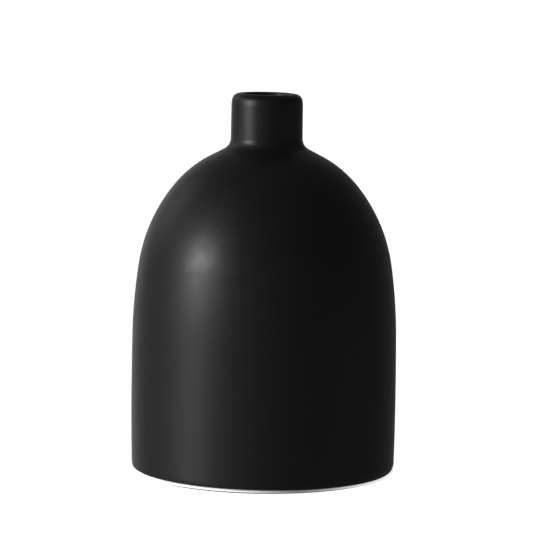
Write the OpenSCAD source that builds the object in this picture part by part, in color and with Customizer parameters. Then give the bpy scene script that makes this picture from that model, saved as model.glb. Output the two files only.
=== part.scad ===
// Narrow-necked bottle in slip-cast stoneware: a bell-shaped body with a domed shoulder and a short
// neck, matt black glaze outside and inside, and a bare foot ring.
// The origin is the centre of the foot on the table, with +Z up through the mouth.

/* [Overall size] */
// Overall height, from the table to the top of the lip
height = 123.5; // [122:0.5:136]
// Greatest width of the body, over the glaze
body_w = 86.5; // [85:0.5:90]
// Width of the neck, over the glaze
neck_w = 23.2; // [21:0.1:24.5]
// Wall, clay and both glaze coats together
wall_t = 3.7; // [3.6:0.05:4.5]
// Thickness of each glaze coat
glaze_t = 0.3; // [0.2:0.05:0.5]

/* [Body] */
// Height of the widest point above the table
belly_z = 25.2; // [23:0.1:28]
// Radius of the nearly straight lower wall, seen from the side
wall_arc_r = 1310; // [1150:5:1500]
// Radius of the flank above the lower wall
flank_r = 173.5; // [160:0.5:190]
// Radius of the dome above the flank
dome_r = 53.3; // [51:0.1:55]
// Radius of the top of the shoulder
shoulder_r = 36.8; // [35:0.1:38]
// Lean of the wall from upright where the flank starts, in degrees
flank_a = 0.85; // [0.6:0.05:1.1]
// Lean of the wall from upright where the dome starts, in degrees
dome_a = 8.6; // [8:0.1:9.5]
// Lean of the wall from upright where the shoulder starts, in degrees
shoulder_a = 39.6; // [38:0.1:41]
// Lean of the straight slope between the shoulder and the neck, in degrees
slope_a = 62.7; // [61:0.1:64.5]

/* [Neck and lip] */
// Radius of the hollow curve between the slope and the neck
fillet_r = 4; // [3:0.1:4.5]
// Radius of the gentle curve by which the neck draws in below the lip
ease_r = 12; // [8:0.5:16]
// Lean of the neck from upright where that curve ends, in degrees
ease_a = 9; // [3:0.5:10]
// Radius of the outer edge of the lip
lip_out_r = 2.5; // [1.5:0.1:2.5]
// Radius of the inner edge of the lip
lip_in_r = 0.7; // [0.6:0.1:0.8]

/* [Foot and inside] */
// Radius of the outer corner above the foot
corner_r = 3.4; // [2.5:0.1:6]
// Height above the table at which the outer glaze stops
bare_h = 0.9; // [0.6:0.1:1.5]
// Width of the bare foot ring, from its side to the recess
foot_ring_w = 6; // [4:0.5:9]
// Rounding of the foot ring's outer edge
foot_edge_r = 0.35; // [0.2:0.05:0.5]
// Depth of the recess inside the foot ring
recess_d = 1.5; // [1:0.1:2.5]
// Bare margin left around the glaze in the recess
base_margin = 2; // [1:0.5:4]
// Radius of the inside corner between the floor and the wall
inside_corner_r = 7; // [4:0.5:12]

/* [Hidden] */

clay_colour = "#E6E2DA";
black_glaze_colour = "#26272A";
liner_colour = "#1E1F21";

spin_fn = 180;
// How far a straight step may cut inside a true arc of the outline
chord_tol = 0.004;
// Rounding of the edges of the recess
edge_r = 0.8;

neck_r = neck_w / 2;
mouth_r = neck_r - wall_t;
floor_z = recess_d + wall_t;

function on_arc(centre, r, angle) = centre + r * [cos(angle), sin(angle)];
function reverse(points) = [for (i = [len(points) - 1 : -1 : 0]) points[i]];

// Points along an arc, from its first angle up to, but not on, its last
function arc(centre, r, from, to) =
    let (steps = ceil(abs(to - from) / (2 * acos(1 - chord_tol / r))))
    [for (i = [0 : steps - 1]) on_arc(centre, r, from + (to - from) * i / steps)];

// The side of the body is one smooth line of four arcs, each tangent to the next, then a straight
// slope and the hollow curve into the neck. An angle of 0 is an upright wall that faces outwards.
wall_c = [body_w / 2 - wall_arc_r, belly_z];
flank_c = on_arc(wall_c, wall_arc_r - flank_r, flank_a);
dome_c = on_arc(flank_c, flank_r - dome_r, dome_a);
shoulder_c = on_arc(dome_c, dome_r - shoulder_r, shoulder_a);
slope_end = on_arc(shoulder_c, shoulder_r + fillet_r, slope_a);
slope_l = (slope_end.x - neck_r - fillet_r) / sin(slope_a);
fillet_c = slope_end + slope_l * [-sin(slope_a), cos(slope_a)];
neck_z = fillet_c.y;

// Both lower corners run tangent into the wall arc. The bare clay, one coat inside the glaze,
// is what meets the table.
outside_a = asin((corner_r - glaze_t - belly_z) / (wall_arc_r - corner_r));
outside_c = on_arc(wall_c, wall_arc_r - corner_r, outside_a);
inside_reach = wall_arc_r - wall_t - inside_corner_r;
inside_a = asin((floor_z + inside_corner_r - belly_z) / inside_reach);
inside_c = on_arc(wall_c, inside_reach, inside_a);

lip_reach = (ease_r - lip_out_r) * [cos(ease_a), sin(ease_a)];
lip_out_c = [neck_r - ease_r + lip_reach.x, height - lip_out_r];
ease_c = lip_out_c - lip_reach;
lip_in_c = [mouth_r + lip_in_r, height - lip_in_r];

// The side of the foot ring is upright and meets the clay's rounded corner where the glaze stops
stop_a = asin((bare_h - outside_c.y) / (corner_r - glaze_t));
foot_r = on_arc(outside_c, corner_r - glaze_t, stop_a).x;
recess_r = foot_r - foot_ring_w;
base_glaze_r = recess_r - base_margin;

// From the top of a lower corner up to the foot of the neck, set in from the glazed surface
function wall_path(inset, from) = concat(
    arc(wall_c, wall_arc_r - inset, from, flank_a),
    arc(flank_c, flank_r - inset, flank_a, dome_a),
    arc(dome_c, dome_r - inset, dome_a, shoulder_a),
    arc(shoulder_c, shoulder_r - inset, shoulder_a, slope_a),
    [on_arc(shoulder_c, shoulder_r - inset, slope_a)],
    arc(fillet_c, fillet_r + inset, slope_a + 180, 180),
    [[neck_r - inset, neck_z]]
);

// From where the glaze stops above the foot up to the foot of the neck
function outside_path(inset) =
    let (r = corner_r - inset, low_a = asin((bare_h - outside_c.y) / r))
    concat(arc(outside_c, r, low_a, outside_a), wall_path(inset, outside_a));

// The rounded edge and the start of the upright side of the bare foot ring
function foot_path() = concat(
    arc([foot_r - foot_edge_r, foot_edge_r], foot_edge_r, -90, 0),
    [[foot_r, foot_edge_r]]
);

// From the edge of the inside floor up to the foot of the neck, set in from the outer surface
function inside_path(inset) = concat(
    arc(inside_c, inside_corner_r + wall_t - inset, -90, inside_a),
    wall_path(inset, inside_a)
);

// Over the lip, from the outside of the neck to the top of the straight bore
function lip_path(inset) = concat(
    arc(ease_c, ease_r - inset, 0, ease_a),
    arc(lip_out_c, lip_out_r - inset, ease_a, 90),
    [lip_out_c + [0, lip_out_r - inset]],
    arc(lip_in_c, lip_in_r - inset, 90, 180),
    [lip_in_c - [lip_in_r - inset, 0]]
);

// From the middle of the recess under the floor out to the flat of the foot ring
function recess_path() = concat(
    [[0, recess_d]],
    arc([recess_r - edge_r, recess_d - edge_r], edge_r, 90, 30),
    arc([recess_r + edge_r, edge_r], edge_r, 210, 270),
    [[recess_r + edge_r, 0]]
);

module spin(outline) {
    rotate_extrude($fn = spin_fn) polygon(outline);
}

// The cast stoneware: base with its foot ring, wall, dome, neck and lip, in one piece
module clay_body() {
    color(clay_colour) spin(concat(
        recess_path(),
        foot_path(),
        outside_path(glaze_t),
        lip_path(glaze_t),
        reverse(inside_path(wall_t - glaze_t)),
        [[0, floor_z - glaze_t]]
    ));
}

// The black coat: from just above the foot, over the lip and down the bore of the neck
module outer_glaze() {
    color(black_glaze_colour) spin(concat(
        outside_path(0),
        lip_path(0),
        [[mouth_r, neck_z], [mouth_r + glaze_t, neck_z]],
        reverse(lip_path(glaze_t)),
        reverse(outside_path(glaze_t))
    ));
}

// The coat that makes the inside hold liquid, from the floor up to the foot of the neck
module liner_glaze() {
    color(liner_colour) spin(concat(
        [[0, floor_z - glaze_t]],
        inside_path(wall_t - glaze_t),
        reverse(inside_path(wall_t)),
        [[0, floor_z]]
    ));
}

// The glazed patch in the recess, with the lower edge of the coat rounded
module base_glaze() {
    color(black_glaze_colour) spin(concat(
        [[0, recess_d], [0, recess_d - glaze_t]],
        arc([base_glaze_r - glaze_t, recess_d], glaze_t, -90, 0),
        [[base_glaze_r, recess_d]]
    ));
}

clay_body();
outer_glaze();
liner_glaze();
base_glaze();
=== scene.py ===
"""Looks of the matt black stoneware bottle.

The stoneware and each coat of glaze are fine meshes, turned from the same outline as the CAD, with some
small unevenness and a material of their own. A plain floor, soft light and a camera are added.
"""
import math

import bpy
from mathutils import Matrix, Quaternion, Vector, noise


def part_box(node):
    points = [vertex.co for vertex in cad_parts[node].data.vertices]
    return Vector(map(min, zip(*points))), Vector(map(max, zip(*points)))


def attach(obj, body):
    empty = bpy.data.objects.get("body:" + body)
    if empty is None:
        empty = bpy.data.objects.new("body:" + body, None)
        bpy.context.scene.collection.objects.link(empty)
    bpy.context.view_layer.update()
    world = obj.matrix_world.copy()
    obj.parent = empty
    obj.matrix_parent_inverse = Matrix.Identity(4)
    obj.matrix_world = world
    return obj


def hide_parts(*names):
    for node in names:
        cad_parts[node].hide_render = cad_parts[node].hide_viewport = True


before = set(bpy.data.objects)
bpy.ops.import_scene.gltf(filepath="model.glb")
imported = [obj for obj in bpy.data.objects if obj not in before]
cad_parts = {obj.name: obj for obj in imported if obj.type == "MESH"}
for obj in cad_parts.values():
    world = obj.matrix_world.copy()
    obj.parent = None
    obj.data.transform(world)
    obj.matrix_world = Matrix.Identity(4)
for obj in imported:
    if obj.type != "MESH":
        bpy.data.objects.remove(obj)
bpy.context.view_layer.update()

# ---------------------------------------------------------------- sizes, in metres
MM = 0.001
GLAZE_LOW, GLAZE_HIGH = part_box("outer_glaze")
LINER_LOW, LINER_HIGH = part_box("liner_glaze")
_, CLAY_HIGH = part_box("clay_body")
_, BASE_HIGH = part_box("base_glaze")

BODY_R = GLAZE_HIGH.x
HEIGHT = GLAZE_HIGH.z
BARE_H = GLAZE_LOW.z
COAT = HEIGHT - CLAY_HIGH.z
RECESS_D = BASE_HIGH.z
FLOOR_Z = LINER_LOW.z + COAT
NECK_Z = LINER_HIGH.z

NECK_R = 11.6 * MM
WALL = 3.7 * MM
MOUTH_R = NECK_R - WALL
BELLY_Z = 25.2 * MM
WALL_ARC_R = 1310 * MM
FLANK_R = 173.5 * MM
DOME_R = 53.3 * MM
SHOULDER_R = 36.8 * MM
FILLET_R = 4 * MM
EASE_R = 12 * MM
LIP_OUT_R = 2.5 * MM
LIP_IN_R = 0.7 * MM
CORNER_R = 3.4 * MM
INSIDE_CORNER_R = 7 * MM
FOOT_RING_W = 6 * MM
# A little rounder than in the CAD
FOOT_EDGE_R = 0.4 * MM
RECESS_EDGE_R = 0.8 * MM
BASE_GLAZE_R = BASE_HIGH.x

# Lean of the wall from upright, in degrees, where each arc takes over from the one below
FLANK_A = 0.85
DOME_A = 8.6
SHOULDER_A = 39.6
SLOPE_A = 62.7
EASE_A = 9

# Vertices in a row, and the most degrees that an arc turns between two rows
AROUND = 256
ARC_STEP = 7
# Spacing of the rows: on the body, on the neck and the foot ring, on the corner above the foot, on the
# smallest roundings, on flats and the liner, and on faces that another piece covers
ROW = 1 * MM
NECK_ROW = 0.6 * MM
CORNER_ROW = 0.25 * MM
EDGE_ROW = 0.1 * MM
FLAT_ROW = 2 * MM
HIDDEN_ROW = 4 * MM


# ---------------------------------------------------------------- outlines
def on_arc(centre, r, angle):
    """The point (radius, height) on a circle in the half section; an angle of 0 faces outwards."""
    a = math.radians(angle)
    return (centre[0] + r * math.cos(a), centre[1] + r * math.sin(a))


def arc(centre, r, start, end, row):
    """Points along an arc, from its first angle up to, but not on, its last."""
    turn = abs(end - start)
    steps = math.ceil(max(math.radians(turn) * r / row, turn / ARC_STEP))
    return [on_arc(centre, r, start + (end - start) * i / steps) for i in range(steps)]


def line(start, end, row):
    """Points along a straight line, from its first end up to, but not on, its last."""
    steps = math.ceil(math.dist(start, end) / row)
    return [tuple(a + (b - a) * i / steps for a, b in zip(start, end)) for i in range(steps)]


def lean_at(centre, r, z):
    """The angle at which a circle of the half section is at height z."""
    return math.degrees(math.asin((z - centre[1]) / r))


WALL_C = (BODY_R - WALL_ARC_R, BELLY_Z)
FLANK_C = on_arc(WALL_C, WALL_ARC_R - FLANK_R, FLANK_A)
DOME_C = on_arc(FLANK_C, FLANK_R - DOME_R, DOME_A)
SHOULDER_C = on_arc(DOME_C, DOME_R - SHOULDER_R, SHOULDER_A)
FILLET_C = (NECK_R + FILLET_R, NECK_Z)
OUTSIDE_A = lean_at(WALL_C, WALL_ARC_R - CORNER_R, CORNER_R - COAT)
OUTSIDE_C = on_arc(WALL_C, WALL_ARC_R - CORNER_R, OUTSIDE_A)
INSIDE_REACH = WALL_ARC_R - WALL - INSIDE_CORNER_R
INSIDE_A = lean_at(WALL_C, INSIDE_REACH, FLOOR_Z + INSIDE_CORNER_R)
INSIDE_C = on_arc(WALL_C, INSIDE_REACH, INSIDE_A)
LIP_REACH = on_arc((0, 0), EASE_R - LIP_OUT_R, EASE_A)
LIP_OUT_C = (NECK_R - EASE_R + LIP_REACH[0], HEIGHT - LIP_OUT_R)
EASE_C = (NECK_R - EASE_R, LIP_OUT_C[1] - LIP_REACH[1])
LIP_IN_C = (MOUTH_R + LIP_IN_R, HEIGHT - LIP_IN_R)
STOP_A = lean_at(OUTSIDE_C, CORNER_R, BARE_H)
STOP_CLAY_A = lean_at(OUTSIDE_C, CORNER_R - COAT, BARE_H)
FOOT_R = on_arc(OUTSIDE_C, CORNER_R - COAT, STOP_CLAY_A)[0]
RECESS_R = FOOT_R - FOOT_RING_W


def wall_rows(inset, start, row):
    """From the top of a lower corner up to the foot of the neck, set in from the glazed surface."""
    slope_low = on_arc(SHOULDER_C, SHOULDER_R - inset, SLOPE_A)
    slope_high = on_arc(FILLET_C, FILLET_R + inset, SLOPE_A + 180)
    return (
        arc(WALL_C, WALL_ARC_R - inset, start, FLANK_A, row)
        + arc(FLANK_C, FLANK_R - inset, FLANK_A, DOME_A, row)
        + arc(DOME_C, DOME_R - inset, DOME_A, SHOULDER_A, row)
        + arc(SHOULDER_C, SHOULDER_R - inset, SHOULDER_A, SLOPE_A, row)
        + line(slope_low, slope_high, row)
        + arc(FILLET_C, FILLET_R + inset, SLOPE_A + 180, 180, row)
    )


def lip_rows(inset, row):
    """From the foot of the neck up its outside, over the lip and down the bore."""
    out_top = on_arc(LIP_OUT_C, LIP_OUT_R - inset, 90)
    in_top = on_arc(LIP_IN_C, LIP_IN_R - inset, 90)
    return (
        line((NECK_R - inset, NECK_Z), (NECK_R - inset, EASE_C[1]), row)
        + arc(EASE_C, EASE_R - inset, 0, EASE_A, row)
        + arc(LIP_OUT_C, LIP_OUT_R - inset, EASE_A, 90, row)
        + line(out_top, in_top, row)
        + arc(LIP_IN_C, LIP_IN_R - inset, 90, 180, row)
        + line((MOUTH_R + inset, LIP_IN_C[1]), (MOUTH_R + inset, NECK_Z), row)
        + [(MOUTH_R + inset, NECK_Z)]
    )


def corner_rows(inset, start, row):
    """The outer corner above the foot, from a given angle."""
    return arc(OUTSIDE_C, CORNER_R - inset, start, OUTSIDE_A, row)


def inside_rows(inset, row):
    """From the edge of the inside floor up to the foot of the neck, set in from the outer surface."""
    corner = arc(INSIDE_C, INSIDE_CORNER_R + WALL - inset, -90, INSIDE_A, row)
    return corner + wall_rows(inset, INSIDE_A, row) + [(NECK_R - inset, NECK_Z)]


# ---------------------------------------------------------------- meshes
def lathe(name, rows, warp, closed):
    """Turns rows (radius, height) about +Z into a piece.

    warp(row number, angle, radius, height) gives each vertex its place. A closed outline joins its last
    row to its first; an open one starts and ends on the axis.
    """
    verts, faces = [], []
    middle = rows if closed else rows[1:-1]
    for i, (r, z) in enumerate(middle):
        for j in range(AROUND):
            angle = 2 * math.pi * j / AROUND
            verts.append(warp(i, angle, r, z))
    count = len(middle)
    for i in range(count if closed else count - 1):
        low, high = i * AROUND, (i + 1) % count * AROUND
        for j in range(AROUND):
            k = (j + 1) % AROUND
            faces.append((low + j, low + k, high + k, high + j))
    if not closed:
        for (r, z), ring, flip in ((rows[0], 0, True), (rows[-1], (count - 1) * AROUND, False)):
            verts.append(Vector((r, 0, z)))
            for j in range(AROUND):
                pair = (ring + j, ring + (j + 1) % AROUND)
                faces.append((len(verts) - 1, *(pair[::-1] if flip else pair)))
    mesh = bpy.data.meshes.new(name)
    mesh.from_pydata(verts, [], faces)
    mesh.validate()
    mesh.update()
    mesh.polygons.foreach_set("use_smooth", [True] * len(mesh.polygons))
    piece = bpy.data.objects.new(name, mesh)
    bpy.context.scene.collection.objects.link(piece)
    return piece


def place(angle, r, z):
    """The point at this angle round the axis."""
    return Vector((r * math.cos(angle), r * math.sin(angle), z))


# ---------------------------------------------------------------- small unevenness of a cast, dipped pot
# Waves of the outer face: how far they lift it on average, and the heights between which they fade in
WAVE_H = 0.06 * MM
WAVE_START = 2 * MM
WAVE_FULL = 12 * MM
# Noise in the waves and in the edge of the coat: seed, size of the features, share
WAVE_NOISE = ((1, 30 * MM, 1), (5, 9 * MM, 0.35))
EDGE_NOISE = ((3, 15 * MM, 1), (8, 5 * MM, 0.4))
SEED_STEP = Vector((1, 2.3, 0))
# Slope of the rim, the angle of its high side in degrees, and the lean of the neck towards +X
LIP_TILT = 0.015
LIP_HIGH_SIDE = 137
NECK_LEAN = 0.05 * MM
# Lower edge of the coat, which slopes like that of a pot held askew in the glaze: its mean height, how
# far it rises above that and falls below it, the angle of its high side in degrees, and its wander
EDGE_MEAN = 0.8 * MM
EDGE_SLOPE = 0.5 * MM
EDGE_HIGH_SIDE = 230
EDGE_WANDER = 0.06 * MM
# Height over which that edge is rolled over, the bead it ends in, how far its back stops short of the
# front, and how closely the rows crowd towards it
EDGE_ROLL = 0.45 * MM
EDGE_BEAD = 0.07 * MM
EDGE_UNDERCUT = 0.2 * EDGE_ROLL
EDGE_CROWD = 1.6


def ripples(kinds, angle, z):
    """Smooth noise round the body, the sum of some kinds: seed, size of the features, share."""
    spot = place(angle, BODY_R, z)
    return sum(share * noise.noise(spot / size + seed * SEED_STEP) for seed, size, share in kinds)


def smooth(x, low, high):
    """0 below low, 1 above high, and a smooth rise between."""
    t = min(max((x - low) / (high - low), 0), 1)
    return t * t * (3 - 2 * t)


def settle(p):
    """The hand-trimmed mouth: its rim stands slightly higher on one side, and the neck leans a hair."""
    high = math.radians(LIP_HIGH_SIDE)
    tilt = LIP_TILT * smooth(p.z, LIP_OUT_C[1] - LIP_OUT_R, HEIGHT)
    p.z += tilt * (p.x * math.cos(high) + p.y * math.sin(high))
    p.x += NECK_LEAN * smooth(p.z, FILLET_C[1] - FILLET_R, HEIGHT)
    return p


def settled(i, angle, r, z):
    """The warp of a piece that follows the neck and the rim."""
    return settle(place(angle, r, z))


def still(i, angle, r, z):
    """The warp of a piece that is left as its outline gives it."""
    return place(angle, r, z)


# ---------------------------------------------------------------- the black coat
glaze_face = corner_rows(0, STOP_A, CORNER_ROW) + wall_rows(0, OUTSIDE_A, ROW) + lip_rows(0, NECK_ROW)
glaze_back = (
    corner_rows(COAT, STOP_CLAY_A, ROW) + wall_rows(COAT, OUTSIDE_A, HIDDEN_ROW) + lip_rows(COAT, ROW)
)
FACE_ROWS = len(glaze_face)
BACK_ROWS = len(glaze_back)
# The rows of each face that lie on the corner above the foot, and the height of the corner's top
FACE_CORNER = len(corner_rows(0, STOP_A, CORNER_ROW))
BACK_CORNER = len(corner_rows(COAT, STOP_CLAY_A, ROW))
CORNER_TOP = on_arc(OUTSIDE_C, CORNER_R, OUTSIDE_A)[1]


def glaze_edge(angle):
    """Height of the lower edge of the black coat, which slopes and wanders a little."""
    slope = EDGE_SLOPE * math.cos(angle - math.radians(EDGE_HIGH_SIDE))
    return EDGE_MEAN + slope + EDGE_WANDER * ripples(EDGE_NOISE, angle, 0)


def corner_r(r, z):
    """Radius of the outer corner at height z, for a corner arc of radius r."""
    return OUTSIDE_C[0] + math.sqrt(max(r * r - (OUTSIDE_C[1] - z) ** 2, 0))


def clay_side(z):
    """Radius of the clay at height z on the foot ring's side or the corner above it."""
    return FOOT_R if z < BARE_H else corner_r(CORNER_R - COAT, z)


def glaze_side(z, edge):
    """Radius of the black coat near its lower edge, which is rolled over like thick paint."""
    clay = clay_side(z)
    full = max(corner_r(CORNER_R, z), clay + COAT) - clay
    full += EDGE_BEAD * math.exp(-(((z - edge - EDGE_ROLL) / EDGE_ROLL) ** 2))
    u = min((z - edge) / EDGE_ROLL, 1)
    return clay + full * math.sqrt(1 - (1 - u) ** 2)


def glaze_warp(i, angle, r, z):
    """Waves over the outer face, and a lower edge that wanders round the foot."""
    back = FACE_ROWS + BACK_ROWS - 1 - i
    edge = glaze_edge(angle)
    if i < FACE_CORNER:
        z = edge + (CORNER_TOP - edge) * (i / FACE_CORNER) ** EDGE_CROWD
        r = glaze_side(z, edge)
    elif back < BACK_CORNER:
        z = edge + (z - BARE_H + EDGE_UNDERCUT) * (CORNER_TOP - edge) / (CORNER_TOP - BARE_H)
        r = clay_side(z)
    if i < FACE_ROWS:
        lift = WAVE_H * smooth(z, WAVE_START, WAVE_FULL) * (1 - smooth(z, FILLET_C[1], HEIGHT))
        r += lift * (1 + ripples(WAVE_NOISE, angle, z))
    return settle(place(angle, r, z))


outer_glaze = lathe("outer_glaze_coat", glaze_face + glaze_back[::-1], glaze_warp, True)

# ---------------------------------------------------------------- the stoneware
RECESS_IN = RECESS_R - RECESS_EDGE_R
RECESS_OUT = RECESS_R + RECESS_EDGE_R
clay_rows = (
    [(0, RECESS_D)]
    + line((FLAT_ROW, RECESS_D), (RECESS_IN, RECESS_D), FLAT_ROW)
    + arc((RECESS_IN, RECESS_D - RECESS_EDGE_R), RECESS_EDGE_R, 90, 30, EDGE_ROW)
    + arc((RECESS_OUT, RECESS_EDGE_R), RECESS_EDGE_R, 210, 270, EDGE_ROW)
    + line((RECESS_OUT, 0), (FOOT_R - FOOT_EDGE_R, 0), NECK_ROW)
    + arc((FOOT_R - FOOT_EDGE_R, FOOT_EDGE_R), FOOT_EDGE_R, -90, 0, EDGE_ROW)
    + line((FOOT_R, FOOT_EDGE_R), (FOOT_R, BARE_H), EDGE_ROW)
    + corner_rows(COAT, STOP_CLAY_A, CORNER_ROW)
    + wall_rows(COAT, OUTSIDE_A, HIDDEN_ROW)
    + lip_rows(COAT, ROW)
    + inside_rows(WALL - COAT, HIDDEN_ROW)[::-1][1:]
    + line((INSIDE_C[0] - ROW, FLOOR_Z - COAT), (FLAT_ROW, FLOOR_Z - COAT), HIDDEN_ROW)
    + [(0, FLOOR_Z - COAT)]
)
clay_body = lathe("stoneware_body", clay_rows, settled, False)

# ---------------------------------------------------------------- the coat inside
liner_rows = (
    [(0, FLOOR_Z - COAT)]
    + line((FLAT_ROW, FLOOR_Z - COAT), (INSIDE_C[0], FLOOR_Z - COAT), HIDDEN_ROW)
    + inside_rows(WALL - COAT, FLAT_ROW)
    + inside_rows(WALL, FLAT_ROW)[::-1]
    + line((INSIDE_C[0] - ROW, FLOOR_Z), (FLAT_ROW, FLOOR_Z), FLAT_ROW)
    + [(0, FLOOR_Z)]
)
liner_glaze = lathe("liner_glaze_coat", liner_rows, still, False)

# ---------------------------------------------------------------- the glazed patch under the floor
patch_rows = (
    [(0, RECESS_D)]
    + line((FLAT_ROW, RECESS_D), (BASE_GLAZE_R, RECESS_D), FLAT_ROW)
    + arc((BASE_GLAZE_R - COAT, RECESS_D), COAT, 0, -90, EDGE_ROW)
    + line((BASE_GLAZE_R - COAT, RECESS_D - COAT), (FLAT_ROW, RECESS_D - COAT), FLAT_ROW)
    + [(0, RECESS_D - COAT)]
)
base_glaze = lathe("base_glaze_patch", patch_rows, still, False)


# ---------------------------------------------------------------- materials
# The stretch of a noise texture's values over which a colour or a sheen changes
NOISE_LOW, NOISE_HIGH = 0.3, 0.7

# Matt black glaze: its two shades and two roughnesses, the size of the clouds of each, and the size and
# depth of the skin's unevenness and of the grain
BLACK_SHADES = ((0.0105, 0.0105, 0.0108), (0.0122, 0.0120, 0.0118))
BLACK_CLOUD = 16 * MM
BLACK_ROUGHNESS = (0.36, 0.42)
BLACK_SHEEN = 5 * MM
SKIN_SIZE, SKIN_DEPTH = 2.2 * MM, 0.012 * MM
GRAIN_SIZE, GRAIN_DEPTH = 0.35 * MM, 0.006 * MM

# Bare clay: its two shades and the size of their clouds, its dark specks and the noise values at which
# they start and are full, and its grit
CLAY_SHADES = ((0.80, 0.785, 0.76), (0.87, 0.86, 0.84))
CLAY_CLOUD = 6 * MM
CLAY_ROUGHNESS = 0.9
SPECK_COLOUR = (0.42, 0.36, 0.29)
SPECK_SIZE = 0.5 * MM
SPECK_START, SPECK_FULL = 0.70, 0.76
GRIT_SIZE, GRIT_DEPTH = 0.4 * MM, 0.05 * MM
# Colour of the painted contact shadow along the foot's lower edge at the front
CONTACT_SHADE_COLOUR = (0.12, 0.12, 0.115)

# Glaze inside: its two shades and the size of their clouds, and its slow ripples
LINER_SHADES = ((0.006, 0.006, 0.0065), (0.012, 0.0115, 0.011))
LINER_CLOUD = 9 * MM
LINER_ROUGHNESS = 0.2
RIPPLE_SIZE, RIPPLE_DEPTH = 6 * MM, 0.05 * MM

# Where shade is painted along the foot's lower edge at the front, a painted contact shadow: the angle of
# its middle, the cosines between which it fades out to either side, and the heights between which it
# fades upwards
CONTACT_SHADE_AIM = 267
CONTACT_SHADE_END = 0.68
CONTACT_SHADE_START = 0.84
CONTACT_SHADE_TOP = 0.45 * MM
CONTACT_SHADE_FULL = 0.25 * MM


def new_material(name):
    """A material with its nodes, its links and its shader."""
    material = bpy.data.materials.new(name)
    material.use_nodes = True
    nodes = material.node_tree.nodes
    return material, nodes, material.node_tree.links, nodes["Principled BSDF"]


def noise_node(nodes, links, size, detail=2):
    """The value of a noise in object space whose features are about this size, in metres."""
    where = nodes.new("ShaderNodeTexCoord")
    texture = nodes.new("ShaderNodeTexNoise")
    texture.inputs["Scale"].default_value = 1 / size
    texture.inputs["Detail"].default_value = detail
    links.new(where.outputs["Object"], texture.inputs["Vector"])
    return texture.outputs["Fac"]


def ramp(nodes, links, source, colours, start=NOISE_LOW, end=NOISE_HIGH):
    """A colour that goes from the first of two to the second as the value goes from start to end."""
    node = nodes.new("ShaderNodeValToRGB")
    for element, position, colour in zip(node.color_ramp.elements, (start, end), colours):
        element.position = position
        element.color = (*colour, 1)
    links.new(source, node.inputs["Fac"])
    return node.outputs["Color"]


def bump(nodes, links, height, depth, before=None):
    """Relief of this depth, in metres, laid over an earlier one where there is one."""
    node = nodes.new("ShaderNodeBump")
    node.inputs["Strength"].default_value = 1.0
    node.inputs["Distance"].default_value = depth
    links.new(height, node.inputs["Height"])
    if before is not None:
        links.new(before, node.inputs["Normal"])
    return node.outputs["Normal"]


def remap(nodes, links, source, start, end, low=0, high=1):
    """Maps the values from start to end onto those from low to high."""
    node = nodes.new("ShaderNodeMapRange")
    for name, value in (("From Min", start), ("From Max", end), ("To Min", low), ("To Max", high)):
        node.inputs[name].default_value = value
    links.new(source, node.inputs["Value"])
    return node.outputs[0]


def vector_math(nodes, links, operation, source, other):
    """A vector operation on a link and a fixed vector."""
    node = nodes.new("ShaderNodeVectorMath")
    node.operation = operation
    links.new(source, node.inputs[0])
    node.inputs[1].default_value = other
    return node


def times(nodes, links, first, second):
    """The product of two links."""
    node = nodes.new("ShaderNodeMath")
    node.operation = "MULTIPLY"
    links.new(first, node.inputs[0])
    links.new(second, node.inputs[1])
    return node.outputs[0]


def blend(nodes, links, mask, colour, other):
    """A colour that gives way to another one where the mask is 1."""
    node = nodes.new("ShaderNodeMix")
    node.data_type = "RGBA"
    links.new(mask, node.inputs["Factor"])
    links.new(colour, node.inputs["A"])
    node.inputs["B"].default_value = (*other, 1)
    return node.outputs["Result"]


def matt_black():
    """Satin-matt black glaze: faint clouds of shade and sheen, and a fine grain."""
    material, nodes, links, shader = new_material("matt_black_glaze")
    clouds = noise_node(nodes, links, BLACK_CLOUD, detail=3)
    links.new(ramp(nodes, links, clouds, BLACK_SHADES), shader.inputs["Base Color"])
    sheen = noise_node(nodes, links, BLACK_SHEEN, detail=4)
    roughness = remap(nodes, links, sheen, NOISE_LOW, NOISE_HIGH, *BLACK_ROUGHNESS)
    links.new(roughness, shader.inputs["Roughness"])
    skin = bump(nodes, links, noise_node(nodes, links, SKIN_SIZE), SKIN_DEPTH)
    grain = noise_node(nodes, links, GRAIN_SIZE)
    links.new(bump(nodes, links, grain, GRAIN_DEPTH, skin), shader.inputs["Normal"])
    return material


def painted_contact_shade(nodes, links):
    """1 along the lowest edge of the foot at the front, where contact shade is painted, and 0 elsewhere.
    """
    where = nodes.new("ShaderNodeTexCoord").outputs["Object"]
    height = vector_math(nodes, links, "DOT_PRODUCT", where, (0, 0, 1)).outputs["Value"]
    flat = vector_math(nodes, links, "MULTIPLY", where, (1, 1, 0)).outputs["Vector"]
    reach = vector_math(nodes, links, "LENGTH", flat, (0, 0, 0)).outputs["Value"]
    aim = place(math.radians(CONTACT_SHADE_AIM), 1, 0)
    ahead = vector_math(nodes, links, "DOT_PRODUCT", where, aim).outputs["Value"]
    low = remap(nodes, links, height, CONTACT_SHADE_TOP, CONTACT_SHADE_FULL)
    outer = remap(nodes, links, reach, FOOT_R - FOOT_EDGE_R, FOOT_R - FOOT_EDGE_R / 2)
    front = remap(nodes, links, ahead, FOOT_R * CONTACT_SHADE_END, FOOT_R * CONTACT_SHADE_START)
    return times(nodes, links, times(nodes, links, low, outer), front)


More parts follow.
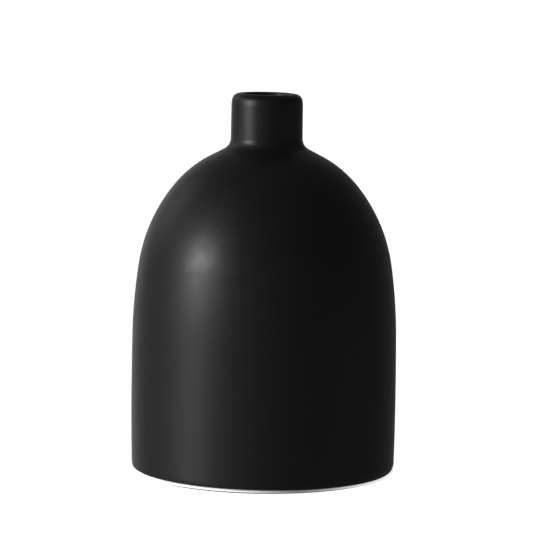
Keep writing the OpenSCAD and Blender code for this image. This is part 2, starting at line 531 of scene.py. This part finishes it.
def bare_clay():
    """Pale unglazed stoneware, dry and sandy, with a few darker specks and a painted contact shadow
    along the lower edge at the front.
    """
    material, nodes, links, shader = new_material("bare_stoneware")
    tone = ramp(nodes, links, noise_node(nodes, links, CLAY_CLOUD, detail=4), CLAY_SHADES)
    specks = noise_node(nodes, links, SPECK_SIZE, detail=1)
    speck_mask = remap(nodes, links, specks, SPECK_START, SPECK_FULL)
    speckled = blend(nodes, links, speck_mask, tone, SPECK_COLOUR)
    # Paints contact shade onto the foot's lowest edge at the front
    contact_shaded = blend(nodes, links, painted_contact_shade(nodes, links), speckled, CONTACT_SHADE_COLOUR)
    links.new(contact_shaded, shader.inputs["Base Color"])
    shader.inputs["Roughness"].default_value = CLAY_ROUGHNESS
    grit = noise_node(nodes, links, GRIT_SIZE, detail=3)
    links.new(bump(nodes, links, grit, GRIT_DEPTH), shader.inputs["Normal"])
    return material


def gloss_black():
    """The smoother, shinier black glaze poured inside."""
    material, nodes, links, shader = new_material("liner_glaze")
    clouds = noise_node(nodes, links, LINER_CLOUD, detail=3)
    links.new(ramp(nodes, links, clouds, LINER_SHADES), shader.inputs["Base Color"])
    shader.inputs["Roughness"].default_value = LINER_ROUGHNESS
    relief = noise_node(nodes, links, RIPPLE_SIZE)
    links.new(bump(nodes, links, relief, RIPPLE_DEPTH), shader.inputs["Normal"])
    return material


GLAZE = matt_black()
for piece, node, slot, material in (
    (outer_glaze, "outer_glaze", "matt_black_glaze", GLAZE),
    (clay_body, "clay_body", "stoneware", bare_clay()),
    (liner_glaze, "liner_glaze", "liner_glaze", gloss_black()),
    (base_glaze, "base_glaze", "matt_black_glaze", GLAZE),
):
    piece.data.materials.append(material)
    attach(piece, "root")
    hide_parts(node)

# ---------------------------------------------------------------- floor, light and camera
FLOOR_SIZE = 20
# Keeps the floor from sharing a plane with the foot
FLOOR_GAP = 0.02 * MM
FLOOR_COLOUR = (0.9, 0.9, 0.9, 1)
# Light on the floor alone: its strength, the share that casts a shadow, and that share's azimuth and
# elevation, from in front so that the shadow falls behind the bottle, and blur, all in degrees
FLOOR_LIGHT = 3.5
SHADOW_SHARE = 0.35
SHADOW_AIM = (0, 50)
SHADOW_BLUR = 5
# The key softbox, which makes the streak down the left: azimuth and elevation in degrees, distance and
# width in metres, and radiance
KEY_AIM = (61, 16)
KEY_AWAY = 1.1
KEY_SIZE = 0.36
KEY_RADIANCE = 14
# Two more like it, for the bare clay alone: one at the key's place, and one from the right
FOOT_RADIANCE = 44
FILL_AIM = (-90, 15)
FILL_RADIANCE = 44
# Brightness of the studio everywhere, and of the white backdrop that the camera sees in its place
BASE_GLOW = 0.06
BACKDROP = 1
# Broad glows of the studio, rounded from a fit to the brightness in the photograph: azimuth,
# elevation and spread in degrees, and radiance
WALL_GLOW_LEFT = (75, 20, 15, 0.6)
TABLE_EDGE_LEFT = (65, -15, 7, 2)
TABLE_LEFT = (60, -25, 30, 0.3)
TABLE_BACK = (160, -25, 30, 0.2)
TABLE_RIGHT = (290, -25, 20, 0.1)
WALL_GLOW_BACK_LEFT = (125, 25, 8, 0.8)
WALL_BACK = (165, 0, 15, 0.45)
GLOWS = (
    WALL_GLOW_LEFT,
    TABLE_EDGE_LEFT,
    TABLE_LEFT,
    TABLE_BACK,
    TABLE_RIGHT,
    WALL_GLOW_BACK_LEFT,
    WALL_BACK,
)
# The point that the softboxes face
MIDDLE = Vector((0, 0, 0.55 * HEIGHT))

# The camera's lens and sensor in mm, its place, and its tilt and roll in degrees
SENSOR_W = 36
LENS = 182.11
CAMERA_AWAY = 0.8742
CAMERA_UP = 0.16791
CAMERA_SIDE = 0.455 * MM
CAMERA_PITCH = 6.58
CAMERA_ROLL = 0.717

scene = bpy.context.scene
scene.view_settings.view_transform = "Standard"

bpy.ops.mesh.primitive_plane_add(size=FLOOR_SIZE, location=(0, 0, -FLOOR_GAP))
floor = bpy.context.object
floor.name = "floor"
floor_material, _, _, floor_shader = new_material("floor_white")
floor_shader.inputs["Base Color"].default_value = FLOOR_COLOUR
floor_shader.inputs["Roughness"].default_value = 1.0
floor.data.materials.append(floor_material)
floor.visible_glossy = False
floor.visible_diffuse = False
floor.visible_shadow = False


def direction(azimuth, elevation):
    """A direction from the bottle: azimuth 0 is towards the camera and 90 is to its left."""
    a, e = math.radians(azimuth), math.radians(elevation)
    return Vector((-math.sin(a) * math.cos(e), -math.cos(a) * math.cos(e), math.sin(e)))


def softbox(name, receivers, azimuth, elevation, distance, size, radiance):
    """A round panel of even brightness that faces the middle of the bottle and lights some pieces."""
    light = bpy.data.lights.new(name, "AREA")
    light.shape = "DISK"
    light.size = size
    light.energy = math.pi * math.pi * size * size / 4 * radiance
    lamp = bpy.data.objects.new(name, light)
    lamp.location = MIDDLE + distance * direction(azimuth, elevation)
    lamp.rotation_euler = direction(azimuth, elevation).to_track_quat("Z", "Y").to_euler()
    lamp.visible_camera = False
    lamp.light_linking.receiver_collection = receivers
    scene.collection.objects.link(lamp)


def floor_light(name, receivers, azimuth, elevation, strength, shadow):
    """A sun that lights the floor, with or without the bottle's shadow."""
    light = bpy.data.lights.new(name, "SUN")
    light.energy = strength / math.sin(math.radians(elevation))
    light.angle = math.radians(SHADOW_BLUR)
    light.use_shadow = shadow
    lamp = bpy.data.objects.new(name, light)
    lamp.rotation_euler = direction(azimuth, elevation).to_track_quat("Z", "Y").to_euler()
    lamp.light_linking.receiver_collection = receivers
    scene.collection.objects.link(lamp)


def world_light():
    """A white backdrop to the camera; to everything else a dim studio with a few broad glows."""
    world = bpy.data.worlds.new("studio")
    scene.world = world
    world.use_nodes = True
    nodes, links = world.node_tree.nodes, world.node_tree.links

    def math_node(operation, first, *values):
        """A maths operation on a link and on further links or numbers."""
        node = nodes.new("ShaderNodeMath")
        node.operation = operation
        links.new(first, node.inputs[0])
        for slot, value in enumerate(values, 1):
            if isinstance(value, bpy.types.NodeSocket):
                links.new(value, node.inputs[slot])
            else:
                node.inputs[slot].default_value = value
        return node.outputs[0]

    where = nodes.new("ShaderNodeTexCoord")
    total = None
    for azimuth, elevation, spread, radiance in GLOWS:
        aim = nodes.new("ShaderNodeVectorMath")
        aim.operation = "DOT_PRODUCT"
        links.new(where.outputs["Generated"], aim.inputs[0])
        aim.inputs[1].default_value = direction(azimuth, elevation)
        sharpness = 1 / math.radians(spread) ** 2
        fall = math_node("MULTIPLY_ADD", aim.outputs["Value"], sharpness, -sharpness)
        glow = math_node("MULTIPLY", math_node("EXPONENT", fall), radiance)
        total = math_node("ADD", glow, BASE_GLOW if total is None else total)
    seen = nodes.new("ShaderNodeLightPath")
    pick = nodes.new("ShaderNodeMix")
    links.new(seen.outputs["Is Camera Ray"], pick.inputs["Factor"])
    links.new(total, pick.inputs["A"])
    pick.inputs["B"].default_value = BACKDROP
    links.new(pick.outputs["Result"], nodes["Background"].inputs["Strength"])
    nodes["Background"].inputs["Color"].default_value = (1, 1, 1, 1)


def collection_of(name, members):
    """The pieces that a light is allowed to reach."""
    collection = bpy.data.collections.new(name)
    for member in members:
        collection.objects.link(member)
    return collection


floor_only = collection_of("floor_only", [floor])
pieces_only = collection_of("pieces_only", [outer_glaze, clay_body, liner_glaze, base_glaze])
clay_only = collection_of("clay_only", [clay_body])
softbox("key_softbox", pieces_only, *KEY_AIM, KEY_AWAY, KEY_SIZE, KEY_RADIANCE)
softbox("foot_softbox", clay_only, *KEY_AIM, KEY_AWAY, KEY_SIZE, FOOT_RADIANCE)
softbox("foot_fill", clay_only, *FILL_AIM, KEY_AWAY, KEY_SIZE, FILL_RADIANCE)
floor_light("floor_light_plain", floor_only, 0, 90, FLOOR_LIGHT * (1 - SHADOW_SHARE), False)
floor_light("floor_light_shadowed", floor_only, *SHADOW_AIM, FLOOR_LIGHT * SHADOW_SHARE, True)
world_light()

camera_data = bpy.data.cameras.new("camera")
camera_data.sensor_width = SENSOR_W
camera_data.lens = LENS
camera = bpy.data.objects.new("camera", camera_data)
camera.location = (CAMERA_SIDE, -CAMERA_AWAY, CAMERA_UP)
camera.rotation_mode = "QUATERNION"
pitch = Quaternion((1, 0, 0), math.radians(90 - CAMERA_PITCH))
camera.rotation_quaternion = pitch @ Quaternion((0, 0, 1), math.radians(CAMERA_ROLL))
scene.collection.objects.link(camera)
scene.camera = camera

bpy.context.view_layer.update()
